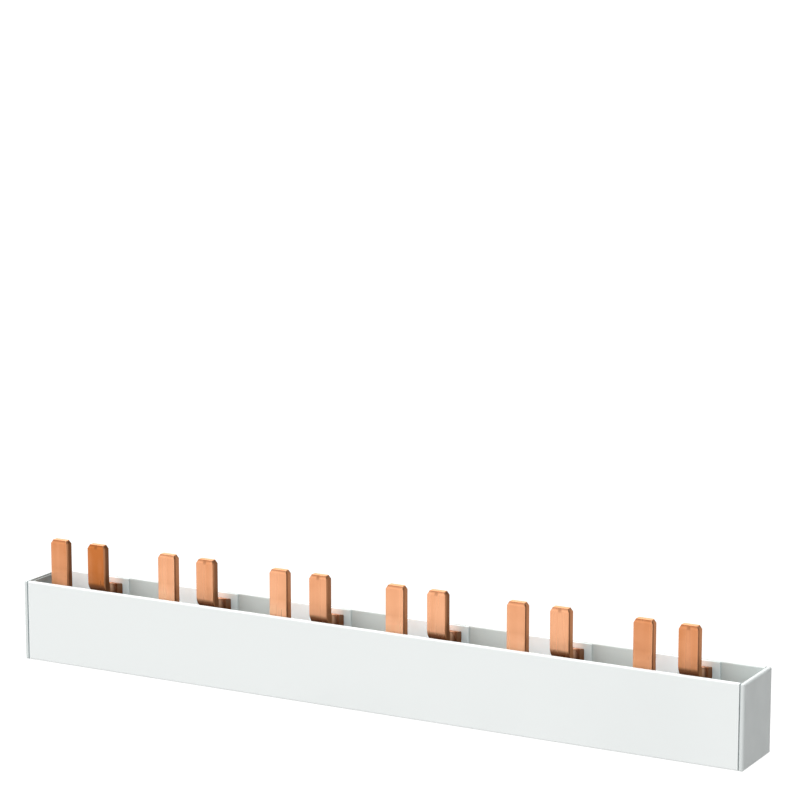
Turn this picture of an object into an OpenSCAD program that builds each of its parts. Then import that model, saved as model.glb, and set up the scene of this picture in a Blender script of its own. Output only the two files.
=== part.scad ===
// Two-phase comb busbar: two copper combs in an open insulating trough with two end caps.
// X runs along the trough, Y from the front to the rear, and Z = 0 is the trough's underside.

/* [Modules] */
// Number of module groups in the row
module_count = 6; // [2:1:8]
// Pitch of the groups: a breaker and the half module beside it
module_pitch = 27; // [25:0.5:36]
// Width of the breaker in each group
breaker_w = 18; // [17.5:0.5:20]
// Distance between the two pins of a breaker
pin_spacing = 9.4; // [8:0.2:10]

/* [Trough] */
// Depth of the trough over its two walls
trough_d = 13.8; // [13.6:0.2:18]
// Height of the trough from the underside to the rim
trough_h = 17; // [16.5:0.5:24]
// Thickness of the front and rear walls
wall_t = 1.1; // [0.8:0.1:1.2]
// Thickness of the floor
floor_t = 1.2; // [0.8:0.1:1.6]
// Thickness of the two webs between the slots
web_t = 0.9; // [0.6:0.1:1.1]
// Height of each guide rib on the webs
rib_h = 0.8; // [0.5:0.1:1.2]
// Distance of the ribs from the strip's lower and upper edges
rib_inset = 1.6; // [1:0.1:2]
// Radius of the two lower outside edges
edge_r = 0.4; // [0.2:0.1:0.8]
// Radius on the rim of the walls
rim_r = 0.3; // [0.1:0.05:0.35]
// Length that the saw takes off the row at each end
end_trim = 0.4; // [0:0.1:0.6]

/* [Copper combs] */
// Thickness of the copper strip
bar_t = 2; // [1.5:0.1:2.1]
// Height of the strip that carries the pins
bar_h = 8; // [6:0.5:9]
// Width of a pin
pin_w = 4; // [3:0.2:4.4]
// Height of the pins above the rim
pin_reach = 8.1; // [6:0.1:14]
// Radius of the punched corner at the foot of a pin
root_r = 0.8; // [0.3:0.1:1]
// Inside radius of the bends in a cranked pin
bend_r = 0.5; // [0.3:0.1:0.6]
// Outside radius of the pressed corner at the rear of a crank
corner_r = 0.4; // [0.2:0.1:0.8]
// How much a crank's riser is wider than the pin on each side
shoulder = 0.4; // [0:0.1:0.6]
// Slope of the crank, falling to the rear
crank_slope = 12; // [6:1:14]
// Depth of the crank's top below the rim, just behind the pin
crank_depth = 0.4; // [0.2:0.1:1]
// Distance of the strips from each end of the trough
bar_setback = 1.1; // [0.8:0.1:1.3]

/* [Pin tips] */
// Height of the tapered tip
tip_h = 0.8; // [0.5:0.1:1.6]
// How much the tip narrows on each side
tip_side = 0.4; // [0.2:0.1:1]
// How much the tip thins on the front and on the rear
tip_face = 0.35; // [0.2:0.05:0.6]

/* [Rear liner] */
// Thickness of the white liner behind the rear comb
liner_t = 0.4; // [0.3:0.05:0.5]
// Height of the liner's band between its tabs
liner_band_h = 7; // [5:0.5:10]
// Gap between the tabs of two breakers that touch
tab_gap = 0.6; // [0.2:0.1:2]
// Depth of the tabs' top edge below the rim
tab_depth = 0.15; // [0.05:0.05:0.5]

/* [End caps] */
// Thickness of a cap's plate
cap_t = 1.15; // [1:0.05:2]
// Radius of the plate's outer edges
cap_edge_r = 0.5; // [0.2:0.1:0.6]
// Width of the groove at the seam between cap and trough
seam_w = 0.25; // [0.15:0.05:0.3]
// Depth of that groove
seam_depth = 0.35; // [0.15:0.05:0.6]
// Length of the long tongue in the spare front slot
tongue_l = 8; // [4:0.5:12]
// Length of the short tongue beside the rear comb
short_tongue_l = 5; // [3:0.5:8]
// Length and depth of the lead-in at a tongue's end, at most a third of the tongue
lead_in = 0.4; // [0.2:0.1:0.5]

/* [Fits] */
// Clearance of each strip between its guides, on each side
slot_clear = 0.15; // [0.1:0.05:0.2]
// Clearance of a cap's tongues in their slots
tongue_clear = 0.1; // [0.05:0.05:0.2]
// Clearance of the cranks over the web below them
crank_clear = 0.4; // [0.2:0.1:0.8]

/* [Hidden] */
$fn = 48;

// The row of modules, the trough cut from it and the strips inside
row_l = module_count * module_pitch;
trough_l = row_l - 2 * end_trim;
bar_l = trough_l - 2 * bar_setback;
bar_top = floor_t + bar_h;
pin_top = trough_h + pin_reach;
riser_w = pin_w + 2 * shoulder;

// Places from front to rear: the pins stand on the trough's centre plane
inner_y = trough_d / 2 - wall_t;
web_front = bar_t / 2 + slot_clear;
web_back = web_front + web_t;
rear_bar_y = inner_y - liner_t - bar_t / 2;
rear_bar_front = rear_bar_y - bar_t / 2;
rib_reach = rear_bar_front - slot_clear - web_back;
rib_levels = [floor_t + rib_inset, bar_top - rib_inset];

// The crank is two bends and a sloping length between them. Its centres are [Y, Z] pairs.
bend_out = bend_r + bar_t;
front_bend = [bar_t / 2 + bend_r, trough_h - crank_depth + bend_r * cos(crank_slope)];
rear_bend_y = rear_bar_front - bend_r;
crank_run = (rear_bend_y - front_bend[0] + (bend_r + bend_out) * sin(crank_slope)) / cos(crank_slope);
rear_bend = [
    rear_bend_y,
    front_bend[1] - (bend_r + bend_out) * cos(crank_slope) - crank_run * sin(crank_slope)
];

// The webs end just below the cranks that pass over them
crank_under = front_bend[1] - bend_out / cos(crank_slope) - (web_back - front_bend[0]) * tan(crank_slope);
web_top = crank_under - crank_clear;

function group_x(i) = -row_l / 2 + i * module_pitch + breaker_w / 2;
function pin_x(i, side) = group_x(i) + side * pin_spacing / 2;

// A profile drawn in Y and Z, given a length along X
module along_x(from, length) {
    translate([from, 0, 0]) rotate([90, 0, 90]) linear_extrude(length) children();
}

// An outline drawn in X and Z, given a thickness along Y about its middle
module along_y(middle, thickness) {
    translate([0, middle + thickness / 2, 0]) rotate([90, 0, 0]) linear_extrude(thickness) children();
}

// A rectangle standing on the first axis, with one radius below and another above
module rounded_outline(width, height, lower_r, upper_r) {
    translate([-width / 2, lower_r]) square([width, height - lower_r - upper_r]);
    translate([-width / 2 + lower_r, 0]) square([width - 2 * lower_r, lower_r]);
    translate([-width / 2 + upper_r, height - upper_r]) square([width - 2 * upper_r, upper_r]);
    for (side = [-1, 1]) {
        translate([side * (width / 2 - lower_r), lower_r]) circle(lower_r);
        translate([side * (width / 2 - upper_r), height - upper_r]) circle(upper_r);
    }
}

// One web with two ribs that hold the strip beside it
module guide_web() {
    translate([web_front, 0]) square([web_t, web_top]);
    for (level = rib_levels)
        translate([web_back, level])
            polygon([[0, -rib_h / 2], [rib_reach, -rib_h / 4], [rib_reach, rib_h / 4], [0, rib_h / 2]]);
}

// The rounded rim of one wall
module wall_rim() {
    translate([rim_r, 0]) square([wall_t - 2 * rim_r, rim_r]);
    for (y = [rim_r, wall_t - rim_r])
        translate([y, 0]) circle(rim_r);
}

module trough_section() {
    difference() {
        rounded_outline(trough_d, trough_h, edge_r, rim_r);
        translate([-inner_y, floor_t]) square([2 * inner_y, trough_h]);
        for (side = [-1, 1])
            translate([side * (inner_y + wall_t / 2) - wall_t / 2, trough_h - rim_r]) square([wall_t, 2 * rim_r]);
    }
    for (side = [-1, 1])
        translate([side * (inner_y + wall_t / 2) - wall_t / 2, trough_h - rim_r]) wall_rim();
    guide_web();
    mirror([1, 0]) guide_web();
}

// Side and front view of a pin: straight, with a tapered tip
module blade_outline(width, taper, from_z) {
    polygon([
        [-width / 2, from_z], [width / 2, from_z],
        [width / 2, pin_top - tip_h], [width / 2 - taper, pin_top],
        [-width / 2 + taper, pin_top], [-width / 2, pin_top - tip_h]
    ]);
}

// The free length of a pin, about the trough's centre plane
module blade(from_z) {
    intersection() {
        along_y(0, bar_t) blade_outline(pin_w, tip_side, from_z);
        along_x(-pin_w / 2, pin_w) blade_outline(bar_t, tip_face, from_z);
    }
}

// The rounded corners where a punched pin of this width rises from its strip
module root(width) {
    difference() {
        translate([-width / 2 - root_r, bar_top]) square([width + 2 * root_r, root_r]);
        for (side = [-1, 1])
            translate([side * (width / 2 + root_r), bar_top + root_r]) circle(root_r);
    }
}

// The strip on edge, with the feet of its row of pins, cut off square at both ends
module strip(side, y, foot_w) {
    along_y(y, bar_t) intersection() {
        translate([-bar_l / 2, floor_t]) square([bar_l, bar_h + root_r]);
        union() {
            translate([-bar_l / 2, floor_t]) square([bar_l, bar_h]);
            for (i = [0 : module_count - 1])
                translate([pin_x(i, side), 0]) root(foot_w);
        }
    }
}

// One bend of the copper between two directions seen from its centre
module bend(centre, from_angle, to_angle) {
    reach = 2 * bend_out;
    middle = (from_angle + to_angle) / 2;
    translate(centre) intersection() {
        difference() {
            circle(bend_out);
            circle(bend_r);
        }
        polygon([
            [0, 0], reach * [cos(from_angle), sin(from_angle)],
            reach * [cos(middle), sin(middle)], reach * [cos(to_angle), sin(to_angle)]
        ]);
    }
}

// The rear bend, pressed out to a corner between the riser's rear and the slope's top
module rear_corner() {
    to_slope = [sin(crank_slope), cos(crank_slope)];
    centre = rear_bend + (bend_out - corner_r) * [1, (1 - to_slope[0]) / to_slope[1]];
    difference() {
        union() {
            translate(centre) circle(corner_r);
            polygon([
                rear_bend, rear_bend + [bend_out, 0], centre + [corner_r, 0],
                centre + corner_r * to_slope, rear_bend + bend_out * to_slope
            ]);
        }
        translate(rear_bend) circle(bend_r);
    }
}

// Side view of the riser, from the strip up to the pressed corner
module riser_side() {
    translate([rear_bar_front, floor_t]) square([bar_t, rear_bend[1] - floor_t]);
    intersection() {
        rear_corner();
        translate([rear_bar_front, 0]) square([bar_t, trough_h]);
    }
}

// Side view of a cranked pin below its blade: the riser out of the strip, two bends and the slope
module crank_side() {
    riser_side();
    rear_corner();
    translate(front_bend) rotate(-crank_slope) translate([0, -bend_out]) square([crank_run, bar_t]);
    bend(front_bend, 180, 270 - crank_slope);
}

// Plate of a cap, from its seat on the trough outwards, without its corners at the ends
module plate_outline(low, high, r) {
    translate([0, low + seam_depth]) square([cap_t - r, high - low - 2 * seam_depth]);
    translate([seam_w, low]) square([cap_t - seam_w - r, high - low]);
    translate([cap_t - r, low + r]) square([r, high - low - 2 * r]);
    for (level = [low + r, high - r])
        translate([cap_t - r, level]) circle(r);
}

// A tongue on the cap's inner side, rooted in the plate, with a lead-in all round its end
module tongue(length, y_range, z_range) {
    thickness = y_range[1] - y_range[0];
    height = z_range[1] - z_range[0];
    lead = min(lead_in, thickness / 3, height / 3);
    intersection() {
        along_y(y_range[0] + thickness / 2, thickness) tongue_outline(length, z_range, lead);
        translate([0, 0, z_range[0]]) linear_extrude(height) tongue_outline(length, y_range, lead);
    }
}

// A tongue seen from one side, chamfered at its end
module tongue_outline(length, range, lead) {
    polygon([
        [cap_t / 2, range[0]], [cap_t / 2, range[1]], [lead - length, range[1]],
        [-length, range[1] - lead], [-length, range[0] + lead], [lead - length, range[0]]
    ]);
}

// The right cap; the left one is its mirror image
module end_cap() {
    spare_slot = [-inner_y + tongue_clear, -web_back - rib_reach - tongue_clear];
    rear_gap = [web_back + tongue_clear, web_back + rib_reach];
    between_ribs = [rib_levels[0] + rib_h / 2 + tongue_clear, rib_levels[1] - rib_h / 2 - tongue_clear];
    translate([trough_l / 2, 0, 0]) {
        intersection() {
            along_x(0, cap_t) rounded_outline(trough_d, trough_h, edge_r, rim_r);
            along_y(0, trough_d) plate_outline(0, trough_h, cap_edge_r);
            linear_extrude(trough_h) plate_outline(-trough_d / 2, trough_d / 2, cap_edge_r);
        }
        tongue(tongue_l, spare_slot, [floor_t + tongue_clear, web_top]);
        tongue(short_tongue_l, rear_gap, between_ribs);
    }
}

module trough() {
    color("gainsboro") along_x(-trough_l / 2, trough_l) trough_section();
}

module middle_comb() {
    color("peru") {
        strip(-1, 0, pin_w);
        for (i = [0 : module_count - 1])
            translate([pin_x(i, -1), 0, 0]) blade(floor_t);
    }
}

module rear_comb() {
    color("peru") {
        strip(1, rear_bar_y, riser_w);
        for (i = [0 : module_count - 1])
            translate([pin_x(i, 1), 0, 0]) {
                along_x(-pin_w / 2, pin_w) crank_side();
                along_x(-riser_w / 2, riser_w) riser_side();
                blade(front_bend[1]);
            }
    }
}

module rear_liner() {
    color("white") along_y(inner_y - liner_t / 2, liner_t) intersection() {
        translate([-bar_l / 2, 0]) square([bar_l, trough_h]);
        union() {
            translate([-bar_l / 2, floor_t]) square([bar_l, liner_band_h]);
            for (i = [0 : module_count - 1])
                translate([group_x(i) - (breaker_w - tab_gap) / 2, floor_t])
                    square([breaker_w - tab_gap, trough_h - tab_depth - floor_t]);
        }
    }
}

module end_cap_right() {
    color("gainsboro") end_cap();
}

module end_cap_left() {
    color("gainsboro") mirror([1, 0, 0]) end_cap();
}

trough();
middle_comb();
rear_comb();
rear_liner();
end_cap_left();
end_cap_right();
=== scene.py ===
"""Finishes, light and camera for a two-phase comb busbar.

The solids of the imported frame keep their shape. Each sub-assembly below softens the edges of its own
solids and dresses them in a procedural finish: drawn plastic, moulded plastic, plastic film or copper.
"""
import logging
import math
from collections.abc import Callable
from dataclasses import dataclass
from enum import Enum

import bpy
from mathutils import Euler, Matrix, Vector


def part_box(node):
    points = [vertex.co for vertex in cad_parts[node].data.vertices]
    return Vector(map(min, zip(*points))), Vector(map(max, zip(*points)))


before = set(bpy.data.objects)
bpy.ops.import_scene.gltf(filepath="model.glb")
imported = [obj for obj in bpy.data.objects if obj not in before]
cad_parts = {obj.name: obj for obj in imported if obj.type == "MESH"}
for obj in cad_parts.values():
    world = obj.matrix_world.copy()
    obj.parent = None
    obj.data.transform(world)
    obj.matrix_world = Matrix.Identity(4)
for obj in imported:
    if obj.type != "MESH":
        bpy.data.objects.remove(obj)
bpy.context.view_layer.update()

LOG = logging.getLogger("comb_busbar")

Colour = tuple[float, float, float]
Band = tuple[float, float]

# One millimetre in metres, and the two ways in which a mask runs over a band
MM = 0.001
RISING: Band = (0.0, 1.0)
FALLING: Band = (1.0, 0.0)

# Heights of the trough's rim and of the pins' tips, and depths of the pins' front face and the middle
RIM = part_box("trough")[1][2]
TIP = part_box("middle_comb")[1][2]
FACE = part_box("middle_comb")[0][1]
MIDDLE = sum(corner[1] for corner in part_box("trough")) / 2


def pin_middles(comb: str) -> list[float]:
    """Finds where a comb's pins stand along the row, by the corners of their level tips.

    Args:
        comb: Name of the comb's node.

    Returns:
        The middle of each pin along X, in metres, from left to right.
    """
    slack = 0.01 * MM
    widest_pin = 5.0 * MM
    pins: list[list[float]] = []
    for along in sorted(point.co.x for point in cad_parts[comb].data.vertices
                        if point.co.z > TIP - slack):
        if not pins or along - pins[-1][0] > widest_pin:
            pins.append([])
        pins[-1].append(along)
    return [(corners[0] + corners[-1]) / 2 for corners in pins]


STRAIGHT_PINS = pin_middles("middle_comb")
CRANKED_PINS = pin_middles("rear_comb")
PITCH = (STRAIGHT_PINS[-1] - STRAIGHT_PINS[0]) / (len(STRAIGHT_PINS) - 1)


class Grain(Enum):
    """Which way a surface was drawn or rolled, as stretches of the texture space along X, Y and Z."""

    NONE = (1.0, 1.0, 1.0)
    ALONG_X = (0.02, 1.0, 1.0)
    ALONG_Z = (1.0, 1.0, 0.02)


class Facing(Enum):
    """The band of one part of a face's normal over which the mask of such faces fades."""

    FORWARD = (-0.6, -0.4)
    UNDERSIDE = (-0.4, -0.12)
    SLANTED = (0.15, 0.35)
    ROUNDED_EDGE = (0.15, 0.4)
    LEVEL_TOP = (0.75, 0.95)
    PUNCHED_EDGE = (0.8, 0.95)


# ---------------------------------------------------------------------------------------------------
# Node tools
# ---------------------------------------------------------------------------------------------------


class NodeBench:
    """Adds and links nodes in one tree, in a row from left to right."""

    COLUMN_WIDTH = 200.0
    # Places of a Mix node's sockets for colours, whose names other sockets of it bear too
    MIX_SHARE = 0
    MIX_FIRST = 6
    MIX_SECOND = 7
    MIX_RESULT = 2

    def __init__(self, tree: bpy.types.NodeTree) -> None:
        """Keeps the tree.

        Args:
            tree: The node tree to work in.
        """
        self.tree = tree
        self.column = 0

    def add(self, kind: str, **settings: object) -> bpy.types.Node:
        """Adds a node.

        Args:
            kind: Name of the node's type.
            **settings: Attributes to set on it.

        Returns:
            The new node.
        """
        node = self.tree.nodes.new(kind)
        node.location = (self.column * self.COLUMN_WIDTH, 0.0)
        self.column += 1
        for name, value in settings.items():
            setattr(node, name, value)
        return node

    def wire(self, source: bpy.types.NodeSocket, target: bpy.types.NodeSocket) -> None:
        """Links an output to an input."""
        self.tree.links.new(source, target)

    def feed(self, target: bpy.types.NodeSocket, value: object) -> None:
        """Links a socket, or sets a plain value.

        Args:
            target: The input to feed.
            value: An output socket, or a value for the input itself.
        """
        if isinstance(value, bpy.types.NodeSocket):
            self.wire(value, target)
        else:
            target.default_value = value

    def group(self, tree: bpy.types.NodeTree, values: dict[str, object]) -> bpy.types.Node:
        """Places a node group.

        Args:
            tree: The group.
            values: A socket or a plain value for each of its inputs, by name.

        Returns:
            The group's node.
        """
        node = self.add("ShaderNodeGroup", node_tree=tree)
        for name, value in values.items():
            self.feed(node.inputs[name], value)
        return node

    def split(self, vector: bpy.types.NodeSocket) -> bpy.types.Node:
        """Splits a vector.

        Args:
            vector: The vector to split.

        Returns:
            A node with the outputs X, Y and Z.
        """
        node = self.add("ShaderNodeSeparateXYZ")
        self.wire(vector, node.inputs[0])
        return node

    def math(self, operation: str, *values: object) -> bpy.types.NodeSocket:
        """Adds a Math node.

        Args:
            operation: The Math node's operation.
            *values: One to three sockets or numbers.

        Returns:
            The node's output.
        """
        node = self.add("ShaderNodeMath", operation=operation)
        for target, value in zip(node.inputs, values):
            self.feed(target, value)
        return node.outputs[0]

    def scaled(self, vector: bpy.types.NodeSocket, by: object) -> bpy.types.NodeSocket:
        """Multiplies a vector by another, component by component.

        Args:
            vector: The vector to scale.
            by: A socket, or three numbers.

        Returns:
            The scaled vector.
        """
        node = self.add("ShaderNodeVectorMath", operation="MULTIPLY")
        self.feed(node.inputs[0], vector)
        self.feed(node.inputs[1], by)
        return node.outputs[0]

    def noise(self, vector: bpy.types.NodeSocket, scale: object, detail: float) -> bpy.types.NodeSocket:
        """Adds a noise texture.

        Args:
            vector: Place in the texture's space.
            scale: How many lumps there are to one unit of that space.
            detail: How many finer layers lie over the lumps.

        Returns:
            The noise's height, from 0 to 1.
        """
        node = self.add("ShaderNodeTexNoise")
        self.feed(node.inputs["Vector"], vector)
        self.feed(node.inputs["Scale"], scale)
        node.inputs["Detail"].default_value = detail
        return node.outputs["Fac"]

    def spread(self, value: bpy.types.NodeSocket, source: tuple[object, object],
               target: Band) -> bpy.types.NodeSocket:
        """Maps a range of values to another, clamped.

        Args:
            value: The value to map.
            source: Lowest and highest value in.
            target: The values that these two give.

        Returns:
            The mapped value.
        """
        node = self.add("ShaderNodeMapRange", clamp=True)
        for name, number in zip(("From Min", "From Max", "To Min", "To Max"), source + target):
            self.feed(node.inputs[name], number)
        self.feed(node.inputs["Value"], value)
        return node.outputs["Result"]

    def blend(self, share: object, first: object, second: object) -> bpy.types.NodeSocket:
        """Mixes two colours.

        Args:
            share: How much of the second colour shows.
            first: Colour at 0.
            second: Colour at 1.

        Returns:
            The mixed colour.
        """
        node = self.add("ShaderNodeMix", data_type="RGBA")
        sockets = (self.MIX_SHARE, self.MIX_FIRST, self.MIX_SECOND)
        for socket, value in zip(sockets, (share, first, second)):
            self.feed(node.inputs[socket], (*value, 1.0) if isinstance(value, tuple) else value)
        return node.outputs[self.MIX_RESULT]

    def bump(self, relief: bpy.types.NodeSocket) -> bpy.types.NodeSocket:
        """Adds a Bump node at full strength.

        Args:
            relief: Height of the surface, in millimetres.

        Returns:
            The normal of the raised surface.
        """
        node = self.add("ShaderNodeBump")
        node.inputs["Strength"].default_value = 1.0
        node.inputs["Distance"].default_value = MM
        self.wire(relief, node.inputs["Height"])
        return node.outputs["Normal"]


class SocketKind(Enum):
    """What a socket of a shader node group carries."""

    VECTOR = "NodeSocketVector"
    FLOAT = "NodeSocketFloat"
    COLOR = "NodeSocketColor"


class GroupShelf:
    """Builds each shader node group once and hands it to every material that uses it."""

    MM_PER_M = 1000.0
    # Clouds: layers of noise, the height where they begin at balance 0, and how far up they fade in
    CLOUD_DETAIL = 3.0
    CLOUD_LEVEL = 0.85
    CLOUD_FADE = 0.3
    # Lines: layers and weight of the fine and the broad ones, and the heights between which streaks show
    FINE_DETAIL = 4.0
    FINE_PART = 0.6
    BROAD_DETAIL = 1.0
    BROAD_PART = 0.4
    BROAD_FREQUENCY = 0.23
    STREAKS: Band = (0.35, 0.65)
    # Fine texture: layers of noise
    TEXTURE_DETAIL = 2.0

    @staticmethod
    def _take(name: str, inputs: dict[str, SocketKind], outputs: dict[str, SocketKind],
              fill: Callable[[NodeBench, bpy.types.Node, bpy.types.Node], None]) -> bpy.types.NodeTree:
        """Takes a group off the shelf, and makes it on first use.

        Args:
            name: The group's name.
            inputs: Input names, each with what it carries.
            outputs: Output names, each with what it carries.
            fill: Adds the nodes between the group's input and its output node.

        Returns:
            The group.
        """
        if name in bpy.data.node_groups:
            return bpy.data.node_groups[name]
        tree = bpy.data.node_groups.new(name, "ShaderNodeTree")
        for direction, sockets in (("INPUT", inputs), ("OUTPUT", outputs)):
            for socket, kind in sockets.items():
                tree.interface.new_socket(name=socket, in_out=direction, socket_type=kind.value)
        bench = NodeBench(tree)
        fill(bench, bench.add("NodeGroupInput"), bench.add("NodeGroupOutput"))
        return tree

    @classmethod
    def _fill_drift(cls, bench: NodeBench, given: bpy.types.Node, out: bpy.types.Node) -> None:
        """Mixes two tones by the height of soft clouds; a higher balance shows more of the second.

        Args:
            bench: Bench of the group's node tree.
            given: The group's input node.
            out: The group's output node.
        """
        frequency = bench.math("DIVIDE", cls.MM_PER_M, given.outputs["Cloud Size mm"])
        cloud = bench.noise(given.outputs["Vector"], frequency, cls.CLOUD_DETAIL)
        low = bench.math("SUBTRACT", cls.CLOUD_LEVEL, given.outputs["Balance"])
        high = bench.math("ADD", low, cls.CLOUD_FADE)
        mask = bench.spread(cloud, (low, high), RISING)
        tone = bench.blend(mask, given.outputs["First Tone"], given.outputs["Second Tone"])
        bench.wire(tone, out.inputs["Color"])
        bench.wire(mask, out.inputs["Mask"])

    @classmethod
    def _fill_lines(cls, bench: NodeBench, given: bpy.types.Node, out: bpy.types.Node) -> None:
        """Adds fine lines over broad ones; the mask shows the broad ones as streaks.

        Args:
            bench: Bench of the group's node tree.
            given: The group's input node.
            out: The group's output node.
        """
        stretched = bench.scaled(given.outputs["Vector"], given.outputs["Stretch"])
        frequency = bench.math("DIVIDE", cls.MM_PER_M, given.outputs["Line Size mm"])
        fine = bench.noise(stretched, frequency, cls.FINE_DETAIL)
        broad_frequency = bench.math("MULTIPLY", frequency, cls.BROAD_FREQUENCY)
        broad = bench.noise(stretched, broad_frequency, cls.BROAD_DETAIL)
        height = bench.math("ADD", bench.math("MULTIPLY", fine, cls.FINE_PART),
                            bench.math("MULTIPLY", broad, cls.BROAD_PART))
        bench.wire(height, out.inputs["Height"])
        bench.wire(bench.spread(broad, cls.STREAKS, RISING), out.inputs["Mask"])

    @classmethod
    def _fill_texture(cls, bench: NodeBench, given: bpy.types.Node, out: bpy.types.Node) -> None:
        """Adds an even, fine roughness.

        Args:
            bench: Bench of the group's node tree.
            given: The group's input node.
            out: The group's output node.
        """
        frequency = bench.math("DIVIDE", cls.MM_PER_M, given.outputs["Grain Size mm"])
        height = bench.noise(given.outputs["Vector"], frequency, cls.TEXTURE_DETAIL)
        bench.wire(height, out.inputs["Height"])

    @classmethod
    def tone_drift(cls) -> bpy.types.NodeTree:
        """Hands out the group that lets one tone drift into another in soft clouds.

        Returns:
            The group.
        """
        return cls._take(
            "tone_drift",
            {"Vector": SocketKind.VECTOR, "Cloud Size mm": SocketKind.FLOAT, "Balance": SocketKind.FLOAT,
             "First Tone": SocketKind.COLOR, "Second Tone": SocketKind.COLOR},
            {"Color": SocketKind.COLOR, "Mask": SocketKind.FLOAT},
            cls._fill_drift,
        )

    @classmethod
    def drawn_lines(cls) -> bpy.types.NodeTree:
        """Hands out the group of fine lines that a die or a roller leaves along one direction.

        Returns:
            The group.
        """
        return cls._take(
            "drawn_lines",
            {"Vector": SocketKind.VECTOR, "Stretch": SocketKind.VECTOR, "Line Size mm": SocketKind.FLOAT},
            {"Height": SocketKind.FLOAT, "Mask": SocketKind.FLOAT},
            cls._fill_lines,
        )

    @classmethod
    def fine_texture(cls) -> bpy.types.NodeTree:
        """Hands out the group of an even, fine roughness, as a mould or a film has it.

        Returns:
            The group.
        """
        return cls._take(
            "fine_texture",
            {"Vector": SocketKind.VECTOR, "Grain Size mm": SocketKind.FLOAT},
            {"Height": SocketKind.FLOAT},
            cls._fill_texture,
        )


# ---------------------------------------------------------------------------------------------------
# Plastic finishes
# ---------------------------------------------------------------------------------------------------


@dataclass(frozen=True)
class PlasticFinish:
    """A solid-coloured plastic with a soft sheen, faint clouds of tone and a fine surface, and painted
    shade on inner faces where set.
    """

    name: str
    tone: Colour
    second_tone: Colour
    roughness: Band
    cloud_mm: float
    line_mm: float
    line_depth_mm: float
    grain_mm: float
    grain_depth_mm: float
    direction: Grain = Grain.NONE
    specular: float = 0.4
    balance: float = 0.35
    # Colour of the painted shade on inner faces, if any
    inside_shade: Colour | None = None
    # Strength of the light it gives off in its own tone, painted light since the part is no lamp
    painted_glow: float = 0.0

    def _shade_mask(self, bench: NodeBench, place: bpy.types.Node,
               facing: bpy.types.Node) -> bpy.types.NodeSocket:
        """Adds the mask of the painted shade on the inner face of the rear wall.

        Args:
            bench: Bench of the material's node tree.
            place: Object coordinates, split into X, Y and Z.
            facing: The object's own normal, split into X, Y and Z.

        Returns:
            The mask.
        """
        forward = bench.spread(facing.outputs["Y"], Facing.FORWARD.value, FALLING)
        rear = bench.spread(place.outputs["Y"], (MIDDLE, MIDDLE + MM), RISING)
        return bench.math("MULTIPLY", forward, rear)

    def _tone(self, bench: NodeBench, coordinates: bpy.types.Node) -> bpy.types.NodeSocket:
        """Adds the colour, with a darker tone painted as shade on the inner faces where the finish gives
        one.

        Args:
            bench: Bench of the material's node tree.
            coordinates: Texture coordinate node.

        Returns:
            The colour.
        """
        drift = bench.group(GroupShelf.tone_drift(), {
            "Vector": coordinates.outputs["Object"], "Cloud Size mm": self.cloud_mm,
            "Balance": self.balance, "First Tone": (*self.tone, 1.0),
            "Second Tone": (*self.second_tone, 1.0),
        })
        if self.inside_shade is None:
            return drift.outputs["Color"]
        place = bench.split(coordinates.outputs["Object"])
        facing = bench.split(coordinates.outputs["Normal"])
        return bench.blend(self._shade_mask(bench, place, facing), drift.outputs["Color"], self.inside_shade)

    def material(self) -> bpy.types.Material:
        """Hands out the material, and makes it on first use.

        Returns:
            The material.
        """
        if self.name in bpy.data.materials:
            return bpy.data.materials[self.name]
        made = bpy.data.materials.new(self.name)
        made.use_nodes = True
        made.diffuse_color = (*self.tone, 1.0)
        bench = NodeBench(made.node_tree)
        shader = made.node_tree.nodes["Principled BSDF"]
        shader.inputs["Specular IOR Level"].default_value = self.specular
        # Painted light: the finish gives off a little light of its own where set
        shader.inputs["Emission Color"].default_value = (*self.tone, 1.0)
        shader.inputs["Emission Strength"].default_value = self.painted_glow
        coordinates = bench.add("ShaderNodeTexCoord")
        position = coordinates.outputs["Object"]
        bench.wire(self._tone(bench, coordinates), shader.inputs["Base Color"])

        lines = bench.group(GroupShelf.drawn_lines(), {
            "Vector": position, "Stretch": self.direction.value, "Line Size mm": self.line_mm,
        })
        bench.wire(bench.spread(lines.outputs["Mask"], RISING, self.roughness),
                   shader.inputs["Roughness"])
        grain = bench.group(GroupShelf.fine_texture(), {"Vector": position, "Grain Size mm": self.grain_mm})
        relief = bench.math("ADD",
                            bench.math("MULTIPLY", lines.outputs["Height"], self.line_depth_mm),
                            bench.math("MULTIPLY", grain.outputs["Height"], self.grain_depth_mm))
        bench.wire(bench.bump(relief), shader.inputs["Normal"])
        return made


@dataclass(frozen=True)
class CapFinish(PlasticFinish):
    """A moulded plastic with painted shade, a darker tone, on the faces that look into the trough."""

    # Where the painted shade comes in, as place times normal along X, in millimetres
    shade_band_mm: Band = (-40.0, -20.0)

    def _shade_mask(self, bench: NodeBench, place: bpy.types.Node,
               facing: bpy.types.Node) -> bpy.types.NodeSocket:
        """Adds the mask of the painted shade on the faces that look along the row towards its middle.

        Their place times their normal along X is well below zero, at either end of the row.

        Args:
            bench: Bench of the material's node tree.
            place: Object coordinates, split into X, Y and Z.
            facing: The object's own normal, split into X, Y and Z.

        Returns:
            The mask.
        """
        outward = bench.math("MULTIPLY", place.outputs["X"], facing.outputs["X"])
        low, high = self.shade_band_mm
        return bench.spread(outward, (low * MM, high * MM), FALLING)


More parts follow.
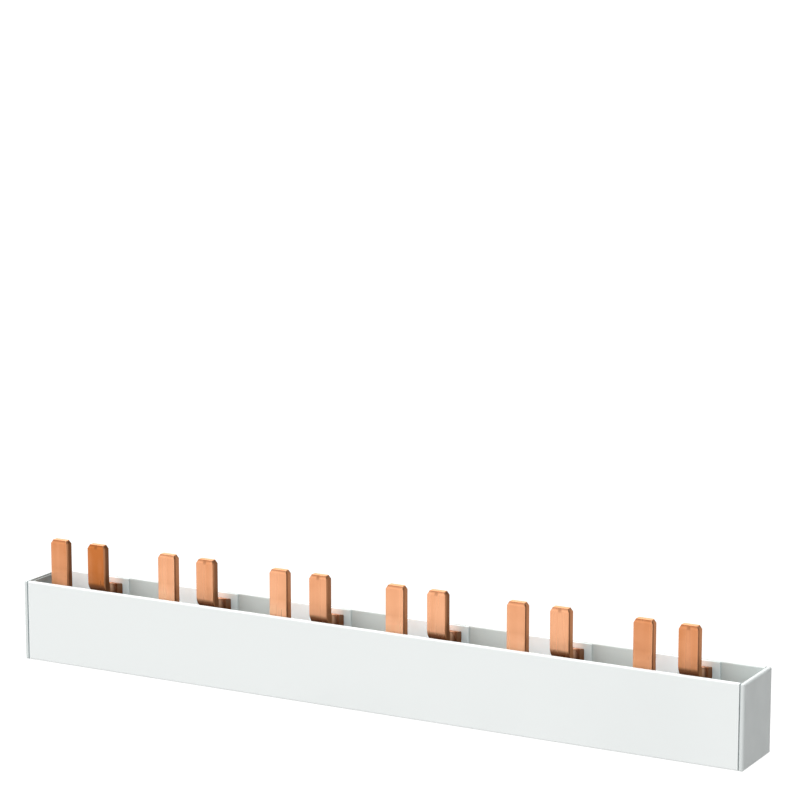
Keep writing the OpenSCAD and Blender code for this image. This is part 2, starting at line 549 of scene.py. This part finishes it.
@dataclass(frozen=True)
class FilmFinish(PlasticFinish):
    """A plastic film cut into tabs, each greyer towards its right end as painted shade."""

    # Painted shade: the grey of each tab's right end, and over how many millimetres from its pair's middle
    # it comes in
    shaded_end_tone: Colour = (0.56, 0.63, 0.63)
    shaded_end_mm: Band = (5.0, 7.0)

    def _tone(self, bench: NodeBench, coordinates: bpy.types.Node) -> bpy.types.NodeSocket:
        """Adds the colour, with painted shade that greys each tab to the right of its pair of pins' middle.

        Args:
            bench: Bench of the material's node tree.
            coordinates: Texture coordinate node.

        Returns:
            The colour.
        """
        tone = super()._tone(bench, coordinates)
        place = bench.split(coordinates.outputs["Object"])
        pair_middle = (STRAIGHT_PINS[-1] + CRANKED_PINS[-1]) / 2
        along = bench.math("SUBTRACT", place.outputs["X"], pair_middle)
        aside = bench.math("WRAP", along, 0.5 * PITCH, -0.5 * PITCH)
        # Painted shade towards the right end of each tab
        low, high = self.shaded_end_mm
        end = bench.spread(aside, (low * MM, high * MM), RISING)
        return bench.blend(end, tone, self.shaded_end_tone)


# ---------------------------------------------------------------------------------------------------
# Copper finish
# ---------------------------------------------------------------------------------------------------


@dataclass(frozen=True)
class CopperTones:
    """The colours of the copper, with the tones of its painted shade, reflections and highlight."""

    # Rolled faces, clean and fully tarnished
    bright: Colour = (0.77, 0.385, 0.215)
    tarnished: Colour = (0.45, 0.14, 0.035)
    # Punched edges and level tips, then the dark tone of the shear band, the tapers, the nicks and the
    # painted shade at the rear of the feet
    # The punched sides are darker partly as painted shade of the dark surroundings that they reflect
    punched: Colour = (0.64, 0.29, 0.14)
    shear_and_shade: Colour = (0.10, 0.032, 0.01)
    # Painted reflection of the white liner on the sides of the feet, and painted highlight on the rounded
    # right edge of a pin
    foot_reflection: Colour = (0.85, 0.52, 0.35)
    edge_highlight: Colour = (1.0, 0.52, 0.29)
    # Painted shade on faces that look down, and on what lies down in the trough
    depth_shade: Colour = (0.23, 0.09, 0.04)
    # Painted reflection: how many times brighter the rolled faces are just above the rim; and the tint of
    # the gloss
    rim_light_gain: Colour = (1.5, 1.65, 1.8)
    sheen: Colour = (1.0, 0.62, 0.42)


@dataclass(frozen=True)
class CopperMarks:
    """Where the marks and the painted light and shade on the copper lie, in millimetres, and how strongly
    each one shows.
    """

    # Soft blotches, and the lines and streaks of rolling
    blotch_mm: float = 3.0
    blotch_balance: float = 0.35
    blotch_share: float = 0.1
    streak_share: float = 0.14
    line_mm: float = 0.35
    line_depth_mm: float = 0.004
    # Tarnish of the tips, from the top down
    tip_over_mm: float = 4.0
    tip_share: float = 0.15
    # Painted reflection from the rim up, and the part of it that shows near to the middle of a cranked pin
    rim_light_over_mm: float = 2.0
    rim_light_share: float = 0.9
    cranked_rim_light_mm: Band = (3.0, 4.0)
    cranked_rim_light_part: float = 0.5
    # Pressed tapers of the tips, and the painted highlight on the rounded right edge
    press_share: float = 0.65
    edge_highlight_share: float = 0.7
    # Nick in a cranked pin's tip: where it fades, to either side and up and down from its own middle
    nick_aside_mm: Band = (0.2, 0.5)
    nick_height_mm: Band = (0.1, 0.5)
    nick_share: float = 0.45
    # Depths behind the front face at which the shear band and the blade end, and over which the painted
    # shade at the rear of the feet comes in
    shear_mm: Band = (0.425, 0.85)
    blade_mm: Band = (2.0, 2.5)
    foot_shade_mm: Band = (3.0, 4.6)
    foot_shade_share: float = 0.75
    # Depths below the rim over which the painted shade comes in
    depth_shade_mm: Band = (1.0, 3.0)


@dataclass(frozen=True)
class CopperFinish:
    """Bare rolled copper with darker punched edges, partly rough punched metal and partly painted shade.

    Handling has tarnished some pins more than others, so the tarnish follows the row of pins. Soft
    blotches lie over it; painted shade darkens it down in the trough, and a painted reflection lights it at
    the rim.
    """

    name: str
    tarnish: tuple[float, ...]
    shear: tuple[float, ...]
    tones: CopperTones = CopperTones()
    marks: CopperMarks = CopperMarks()
    metallic: float = 0.5
    specular: float = 0.1
    roughness: Band = (0.25, 0.35)
    edge_roughness: float = 0.42

    @staticmethod
    def _along_row(bench: NodeBench, place: bpy.types.Node,
                   shares: tuple[float, ...]) -> bpy.types.NodeSocket:
        """Adds a value that changes from pin to pin.

        Args:
            bench: Bench of the material's node tree.
            place: Object coordinates, split into X, Y and Z.
            shares: Its values at even steps from the first pin to the last, one close to each pin.

        Returns:
            The value, from 0 to 1.
        """
        ramp = bench.add("ShaderNodeValToRGB")
        bench.wire(bench.spread(place.outputs["X"], (STRAIGHT_PINS[0], CRANKED_PINS[-1]), RISING),
                   ramp.inputs["Fac"])
        stops = ramp.color_ramp.elements
        last = len(shares) - 1
        for number, share in enumerate(shares):
            stop = stops[0] if number == 0 else stops[-1] if number == last else stops.new(number / last)
            stop.position = number / last
            stop.color = (share, share, share, 1.0)
        return ramp.outputs["Color"]

    @staticmethod
    def _behind_face(bench: NodeBench, place: bpy.types.Node, band_mm: Band,
                     target: Band) -> bpy.types.NodeSocket:
        """Adds a mask that changes with the depth behind the pins' front face.

        Args:
            bench: Bench of the material's node tree.
            place: Object coordinates, split into X, Y and Z.
            band_mm: The depths between which it changes, in millimetres.
            target: Its values at these two.

        Returns:
            The mask.
        """
        near, far = band_mm
        return bench.spread(place.outputs["Y"], (FACE + near * MM, FACE + far * MM), target)

    @staticmethod
    def _aside(bench: NodeBench, place: bpy.types.Node) -> bpy.types.NodeSocket:
        """Adds the distance along the row from the middle of the nearest cranked pin.

        Args:
            bench: Bench of the material's node tree.
            place: Object coordinates, split into X, Y and Z.

        Returns:
            The distance, in metres.
        """
        along = bench.math("SUBTRACT", place.outputs["X"], CRANKED_PINS[-1])
        return bench.math("ABSOLUTE", bench.math("WRAP", along, 0.5 * PITCH, -0.5 * PITCH))

    def _rolled(self, bench: NodeBench, coordinates: bpy.types.Node, place: bpy.types.Node,
                streaks: bpy.types.NodeSocket) -> bpy.types.NodeSocket:
        """Adds the colour of the rolled metal with its tarnish, brightened just above the rim by a painted
        reflection.

        Args:
            bench: Bench of the material's node tree.
            coordinates: Texture coordinate node.
            place: Object coordinates, split into X, Y and Z.
            streaks: Mask of the broad rolling streaks.

        Returns:
            The colour.
        """
        tones, marks = self.tones, self.marks
        drift = bench.group(GroupShelf.tone_drift(), {
            "Vector": coordinates.outputs["Object"], "Cloud Size mm": marks.blotch_mm,
            "Balance": marks.blotch_balance, "First Tone": (0.0, 0.0, 0.0, 1.0),
            "Second Tone": (1.0, 1.0, 1.0, 1.0),
        })
        share = self._along_row(bench, place, self.tarnish)
        for mask, part in ((drift.outputs["Mask"], marks.blotch_share), (streaks, marks.streak_share)):
            share = bench.math("ADD", share, bench.math("MULTIPLY", mask, part))
        tip = bench.spread(place.outputs["Z"], (TIP - marks.tip_over_mm * MM, TIP),
                           (0.0, marks.tip_share))
        rolled = bench.blend(bench.math("ADD", share, tip), tones.bright, tones.tarnished)
        # Painted reflection: brighter just above the rim, less so near the middle of a cranked pin
        rim_light = bench.spread(place.outputs["Z"], (RIM, RIM + marks.rim_light_over_mm * MM),
                             (marks.rim_light_share, 0.0))
        near, far = marks.cranked_rim_light_mm
        kept = bench.spread(self._aside(bench, place), (near * MM, far * MM), (marks.cranked_rim_light_part, 1.0))
        return bench.blend(bench.math("MULTIPLY", rim_light, kept), rolled,
                           bench.scaled(rolled, tones.rim_light_gain))

    def _nicks(self, bench: NodeBench, place: bpy.types.Node) -> bpy.types.NodeSocket:
        """Adds the mask of the small dull nick in the middle of each cranked pin's tip.

        Args:
            bench: Bench of the material's node tree.
            place: Object coordinates, split into X, Y and Z.

        Returns:
            The mask.
        """
        marks = self.marks
        near, far = marks.nick_aside_mm
        middle = bench.spread(self._aside(bench, place), (near * MM, far * MM), FALLING)
        near, far = marks.nick_height_mm
        height = bench.math("ABSOLUTE", bench.math("SUBTRACT", place.outputs["Z"], TIP - far * MM))
        level = bench.spread(height, (near * MM, far * MM), (marks.nick_share, 0.0))
        return bench.math("MULTIPLY", middle, level)

    def _faces(self, bench: NodeBench, rolled: bpy.types.NodeSocket, place: bpy.types.Node,
               facing: bpy.types.Node) -> bpy.types.NodeSocket:
        """Adds the marks of pressing and cutting to the colour of the rolled metal, with painted shade at
        the rear of the feet and on faces that look down, and a painted highlight on the rounded right edge.

        Args:
            bench: Bench of the material's node tree.
            rolled: Colour of the rolled metal.
            place: Object coordinates, split into X, Y and Z.
            facing: The object's own normal, split into X, Y and Z.

        Returns:
            The colour.
        """
        tones, marks = self.tones, self.marks
        rising = bench.spread(facing.outputs["Z"], Facing.SLANTED.value, RISING)
        level = bench.spread(facing.outputs["Z"], Facing.LEVEL_TOP.value, RISING)
        pressed = bench.math("MULTIPLY", bench.math("SUBTRACT", rising, level), marks.press_share)
        # Painted shade at the rear of the feet
        rear = self._behind_face(bench, place, marks.foot_shade_mm, (0.0, marks.foot_shade_share))
        tone = bench.blend(bench.math("MAXIMUM", pressed, rear), rolled, tones.shear_and_shade)
        tone = bench.blend(level, tone, tones.punched)
        tone = bench.blend(self._nicks(bench, place), tone, tones.shear_and_shade)
        # Painted highlight on the rounded right edge of each pin
        edge_highlight = bench.spread(facing.outputs["X"], Facing.ROUNDED_EDGE.value, (0.0, marks.edge_highlight_share))
        tone = bench.blend(edge_highlight, tone, tones.edge_highlight)
        # Painted shade on faces that look down
        under = bench.spread(facing.outputs["Z"], Facing.UNDERSIDE.value, FALLING)
        return bench.blend(under, tone, tones.depth_shade)

    def _edges(self, bench: NodeBench, place: bpy.types.Node) -> bpy.types.NodeSocket:
        """Adds the colour of the punched edges, with their dark shear band, a painted reflection on the
        sides of the feet and painted shade at their rear ends.

        The band lies along the front face on most pins, and behind it on those cut from the back.

        Args:
            bench: Bench of the material's node tree.
            place: Object coordinates, split into X, Y and Z.

        Returns:
            The colour.
        """
        tones, marks = self.tones, self.marks
        front = self._behind_face(bench, place, marks.shear_mm, FALLING)
        blade = self._behind_face(bench, place, marks.blade_mm, FALLING)
        # Painted shade at the rear of the feet
        rear = self._behind_face(bench, place, marks.foot_shade_mm, (0.0, marks.foot_shade_share))
        behind = self._along_row(bench, place, self.shear)
        # Where the band lies behind the front face, its mask is the opposite of the front one
        swap = bench.math("SUBTRACT", 1.0, bench.math("MULTIPLY", behind, 2.0))
        band = bench.math("ADD", behind, bench.math("MULTIPLY", front, swap))
        shear_and_shade = bench.math("MAXIMUM", bench.math("MULTIPLY", blade, band), rear)
        # The sides of the feet behind the blade take a lighter tone as painted reflection
        return bench.blend(shear_and_shade, bench.blend(blade, tones.foot_reflection, tones.punched), tones.shear_and_shade)

    def material(self) -> bpy.types.Material:
        """Hands out the material, and makes it on first use.

        Returns:
            The material.
        """
        if self.name in bpy.data.materials:
            return bpy.data.materials[self.name]
        tones, marks = self.tones, self.marks
        made = bpy.data.materials.new(self.name)
        made.use_nodes = True
        made.diffuse_color = (*tones.bright, 1.0)
        bench = NodeBench(made.node_tree)
        shader = made.node_tree.nodes["Principled BSDF"]
        shader.inputs["Metallic"].default_value = self.metallic
        shader.inputs["Specular IOR Level"].default_value = self.specular
        shader.inputs["Specular Tint"].default_value = (*tones.sheen, 1.0)
        coordinates = bench.add("ShaderNodeTexCoord")
        place = bench.split(coordinates.outputs["Object"])
        facing = bench.split(coordinates.outputs["Normal"])
        # Side faces take the punched-edge colour: partly rough punched metal, partly painted shade of the
        # dark surroundings
        edge = bench.spread(bench.math("ABSOLUTE", facing.outputs["X"]), Facing.PUNCHED_EDGE.value, RISING)
        lines = bench.group(GroupShelf.drawn_lines(), {
            "Vector": coordinates.outputs["Object"], "Stretch": Grain.ALONG_Z.value,
            "Line Size mm": marks.line_mm,
        })

        rolled = self._rolled(bench, coordinates, place, lines.outputs["Mask"])
        tone = bench.blend(edge, self._faces(bench, rolled, place, facing), self._edges(bench, place))
        # Painted shade down in the trough, below the rim
        high, low = marks.depth_shade_mm
        depth_shade = bench.spread(place.outputs["Z"], (RIM - low * MM, RIM - high * MM), FALLING)
        bench.wire(bench.blend(depth_shade, tone, tones.depth_shade), shader.inputs["Base Color"])

        smooth = bench.spread(lines.outputs["Mask"], RISING, self.roughness)
        bench.wire(bench.math("MAXIMUM", smooth, bench.math("MULTIPLY", edge, self.edge_roughness)),
                   shader.inputs["Roughness"])
        relief = bench.math("MULTIPLY", lines.outputs["Height"], marks.line_depth_mm)
        bench.wire(bench.bump(relief), shader.inputs["Normal"])
        return made


# ---------------------------------------------------------------------------------------------------
# The busbar's own finishes
# ---------------------------------------------------------------------------------------------------


# The trough's rear wall gets a darker tone on its inner face as painted shade
DRAWN_GREY = PlasticFinish(
    name="drawn_grey_plastic", tone=(0.575, 0.595, 0.59), second_tone=(0.555, 0.575, 0.57),
    roughness=(0.42, 0.5), cloud_mm=40.0, line_mm=0.7, line_depth_mm=0.004, grain_mm=0.25,
    grain_depth_mm=0.002, direction=Grain.ALONG_X, inside_shade=(0.525, 0.565, 0.55),
)
# The caps get a darker tone as painted shade on the faces that look into the trough
MOULDED_GREY = CapFinish(
    name="moulded_grey_plastic", tone=(0.475, 0.5, 0.495), second_tone=(0.455, 0.48, 0.475),
    roughness=(0.45, 0.55), cloud_mm=8.0, line_mm=0.9, line_depth_mm=0.0, grain_mm=0.2,
    grain_depth_mm=0.008, inside_shade=(0.365, 0.425, 0.43),
)
# The film gives off a faint painted light, and greys towards each tab's right end as painted shade
WHITE_FILM = FilmFinish(
    name="white_plastic_film", tone=(0.86, 0.95, 0.985), second_tone=(0.84, 0.93, 0.965),
    roughness=(0.5, 0.6), cloud_mm=12.0, line_mm=0.5, line_depth_mm=0.0, grain_mm=0.3,
    grain_depth_mm=0.003, painted_glow=0.1,
)
ROLLED_COPPER = CopperFinish(
    name="rolled_copper",
    tarnish=(0.4, 1.0, 0.0, 0.22, 0.0, 0.16, 0.0, 0.0, 0.1, 0.0, 0.4, 0.44),
    shear=(0.85, 0.85, 0.15, 0.75, 0.1, 0.6, 0.15, 0.8, 0.25, 0.2, 0.2, 0.25),
)


# ---------------------------------------------------------------------------------------------------
# Sub-assemblies
# ---------------------------------------------------------------------------------------------------


@dataclass
class FramePiece:
    """One solid of the frame, with its edges softened and its finish put on."""

    node: str
    finish: PlasticFinish | CopperFinish
    edge_mm: float
    edge_steps: int = 3
    edge_angle: float = 30.0
    weld_mm: float = 0.001
    face_weight: int = 80

    def soften(self, piece: bpy.types.Object) -> None:
        """Rounds the sharp edges without touching the solid's own points.

        Args:
            piece: The solid's object.
        """
        weld = piece.modifiers.new("weld", "WELD")
        weld.merge_threshold = self.weld_mm * MM
        bevel = piece.modifiers.new("edges", "BEVEL")
        bevel.width = self.edge_mm * MM
        bevel.segments = self.edge_steps
        bevel.limit_method = "ANGLE"
        bevel.angle_limit = math.radians(self.edge_angle)
        bevel.use_clamp_overlap = True
        even = piece.modifiers.new("even_shading", "WEIGHTED_NORMAL")
        even.keep_sharp = False
        even.weight = self.face_weight

    def dress(self) -> None:
        """Puts the finish on and softens the edges.

        The rounding is done by modifiers, so the solid's own points stay where they are.
        """
        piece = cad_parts[self.node]
        piece.data.materials.clear()
        piece.data.materials.append(self.finish.material())
        piece.data.polygons.foreach_set("use_smooth", [True] * len(piece.data.polygons))
        self.soften(piece)
        LOG.info("%s: %s", self.node, self.finish.name)


@dataclass
class Trough:
    """The drawn channel with its webs, and the white liner that lies in it."""

    channel_edge_mm: float = 0.08
    liner_edge_mm: float = 0.04

    def build(self) -> None:
        """Dresses the channel and its liner."""
        FramePiece("trough", DRAWN_GREY, self.channel_edge_mm).dress()
        FramePiece("rear_liner", WHITE_FILM, self.liner_edge_mm).dress()


@dataclass
class CombPair:
    """The two stamped copper combs, straight and cranked."""

    edge_mm: float = 0.22

    def build(self) -> None:
        """Dresses both combs."""
        for node in ("middle_comb", "rear_comb"):
            FramePiece(node, ROLLED_COPPER, self.edge_mm).dress()


@dataclass
class EndCaps:
    """The two moulded plates that close the trough."""

    edge_mm: float = 0.08

    def build(self) -> None:
        """Dresses both caps."""
        for node in ("end_cap_left", "end_cap_right"):
            FramePiece(node, MOULDED_GREY, self.edge_mm).dress()


# ---------------------------------------------------------------------------------------------------
# Studio
# ---------------------------------------------------------------------------------------------------


@dataclass(frozen=True)
class SkyField:
    """A soft field of light in the sky: its strength, and where it lies and its reach in degrees."""

    strength: float
    azimuth: float
    elevation: float
    reach: float

    def towards(self) -> Vector:
        """Returns the direction of its middle; azimuth 0 is the front and 90 the right end."""
        around, up = math.radians(self.azimuth), math.radians(self.elevation)
        return Vector((math.sin(around) * math.cos(up), -math.cos(around) * math.cos(up), math.sin(up)))

    def paint(self, bench: NodeBench, direction: bpy.types.NodeSocket) -> bpy.types.NodeSocket:
        """Adds the nodes of this field, which fades from its middle outwards.

        Args:
            bench: Bench of the world's node tree.
            direction: Socket with the direction that a ray of light comes from.

        Returns:
            The field's brightness in that direction.
        """
        facing = bench.add("ShaderNodeVectorMath", operation="DOT_PRODUCT")
        bench.wire(direction, facing.inputs[0])
        facing.inputs[1].default_value = self.towards()
        near = bench.add("ShaderNodeMapRange", interpolation_type="SMOOTHSTEP", clamp=True)
        near.inputs["From Min"].default_value = math.cos(math.radians(self.reach))
        near.inputs["From Max"].default_value = 1.0
        bench.wire(facing.outputs["Value"], near.inputs["Value"])
        return bench.math("MULTIPLY", near.outputs["Result"], self.strength)


@dataclass(frozen=True)
class Studio:
    """A plain white floor under a soft sky, and the camera."""

    floor_half: float = 9.0
    floor_tone: Colour = (0.08, 0.08, 0.08)
    floor_glow: float = 0.98
    ambient: float = 0.12
    overhead: SkyField = SkyField(strength=1.5, azimuth=-30.0, elevation=75.0, reach=55.0)
    front_left: SkyField = SkyField(strength=1.65, azimuth=-45.0, elevation=45.0, reach=70.0)
    front: SkyField = SkyField(strength=0.75, azimuth=-10.0, elevation=20.0, reach=60.0)
    behind: SkyField = SkyField(strength=2.1, azimuth=215.0, elevation=35.0, reach=65.0)
    camera_place: tuple[float, float, float] = (0.27969, -0.50722, 0.17346)
    camera_pitch: float = 10.868
    camera_yaw: float = 28.432
    camera_range: Band = (0.01, 100.0)
    lens: float = 134.17
    sensor: float = 36.0

    def floor(self) -> None:
        """Lays the floor.

        It gives off nearly all of its light itself, so that hardly any shadow shows on it.
        """
        half = self.floor_half
        mesh = bpy.data.meshes.new("floor")
        mesh.from_pydata([(-half, -half, 0.0), (half, -half, 0.0), (half, half, 0.0), (-half, half, 0.0)],
                         [], [(0, 1, 2, 3)])
        plain = bpy.data.materials.new("floor_white")
        plain.use_nodes = True
        shader = plain.node_tree.nodes["Principled BSDF"]
        shader.inputs["Base Color"].default_value = (*self.floor_tone, 1.0)
        shader.inputs["Roughness"].default_value = 1.0
        shader.inputs["Specular IOR Level"].default_value = 0.0
        shader.inputs["Emission Color"].default_value = (1.0, 1.0, 1.0, 1.0)
        shader.inputs["Emission Strength"].default_value = self.floor_glow
        mesh.materials.append(plain)
        floor = bpy.data.objects.new("floor", mesh)
        bpy.context.scene.collection.objects.link(floor)

    def sky(self) -> None:
        """Gives the room its soft light.

        A faint light comes from everywhere, and the four fields add to it.
        """
        world = bpy.data.worlds.new("studio")
        world.use_nodes = True
        bench = NodeBench(world.node_tree)
        direction = bench.add("ShaderNodeTexCoord").outputs["Generated"]
        total: object = self.ambient
        for part in (self.overhead, self.front_left, self.front, self.behind):
            total = bench.math("ADD", part.paint(bench, direction), total)
        background = world.node_tree.nodes["Background"]
        background.inputs["Color"].default_value = (1.0, 1.0, 1.0, 1.0)
        bench.wire(total, background.inputs["Strength"])
        bpy.context.scene.world = world

    def camera(self) -> None:
        """Sets up the camera.

        It looks down a little from the front right, without roll, shift or depth of field.
        """
        # A camera without rotation looks straight down, so this angle makes it level
        level = 90.0
        data = bpy.data.cameras.new("camera")
        data.lens = self.lens
        data.sensor_width = self.sensor
        data.clip_start, data.clip_end = self.camera_range
        camera = bpy.data.objects.new("camera", data)
        camera.location = self.camera_place
        camera.rotation_euler = Euler((math.radians(level - self.camera_pitch), 0.0,
                                       math.radians(self.camera_yaw)))
        bpy.context.scene.collection.objects.link(camera)
        bpy.context.scene.camera = camera

    def build(self) -> None:
        """Builds the floor, the light and the camera.

        The view transform is the plain one, so that the finishes' tones come out as they are.
        """
        self.floor()
        self.sky()
        self.camera()
        bpy.context.scene.view_settings.view_transform = "Standard"


def main() -> None:
    """Builds the studio and dresses the busbar.

    The sub-assemblies follow one another, and each reports its pieces.
    """
    logging.basicConfig(level=logging.INFO, format="%(name)s: %(message)s")
    Studio().build()
    for assembly in (Trough(), CombPair(), EndCaps()):
        assembly.build()


if __name__ == "__main__":
    main()
